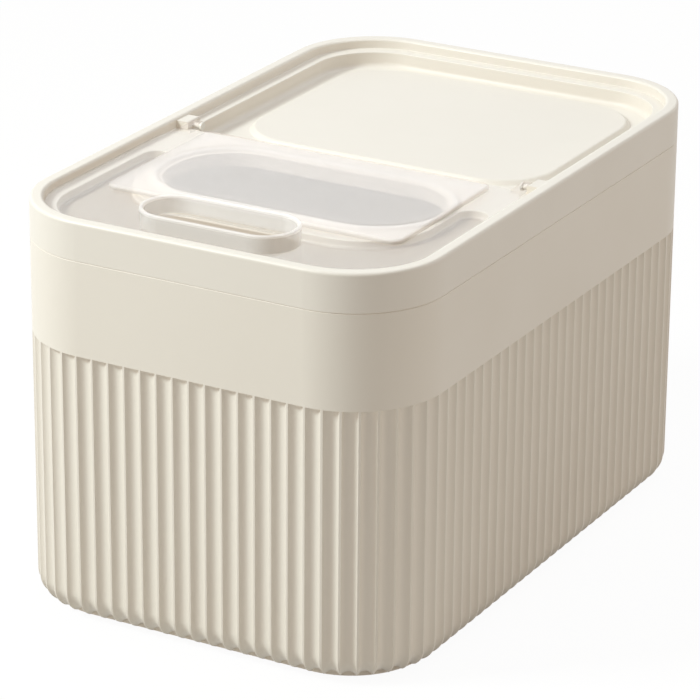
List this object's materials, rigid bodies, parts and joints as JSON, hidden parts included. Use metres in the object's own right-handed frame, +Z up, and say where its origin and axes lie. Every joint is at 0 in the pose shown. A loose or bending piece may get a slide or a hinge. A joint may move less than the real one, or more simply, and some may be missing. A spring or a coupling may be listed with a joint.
{
  "type": "dog food storage container",
  "caption": "Rectangular dry dog food bin with rounded corners, fluted lower walls, a lift-off lid and a clear hinged pour flap with a finger slot.",
  "frame": {"origin": "on the floor, under the middle of the bin", "axes": "+Z up, the pour flap is at the -Y end, +X to the right for someone who faces the flap"},
  "size_m": [0.235, 0.366, 0.23],
  "materials": {
    "tub_plastic": "satin moulded polypropylene, cream",
    "lid_plastic": "satin moulded polypropylene, cream",
    "seal_silicone": "translucent white silicone",
    "clear_plastic": "clear polished styrene acrylonitrile",
    "pin_plastic": "turned acetal rod, off-white",
    "foot_rubber": "matt thermoplastic rubber, warm grey"
  },
  "bodies": {
    "tub": {"tub": "tub_plastic", "foot_pads": "foot_rubber"},
    "lid": {"lid": "lid_plastic", "lid_seal": "seal_silicone", "pour_seal": "seal_silicone", "hinge_pin_left": "pin_plastic", "hinge_pin_right": "pin_plastic"},
    "flap": {"pour_flap": "clear_plastic"}
  },
  "joints": [
    {"name": "lid_lift", "type": "slide", "parent": "tub", "child": "lid", "axis": [0, 0, 1], "range_m": [0, 0.06]},
    {"name": "flap_hinge", "type": "hinge", "parent": "lid", "child": "flap", "pos_m": [0, -0.008, 0.2195], "axis": [-1, 0, 0], "range_deg": [0, 105]}
  ]
}
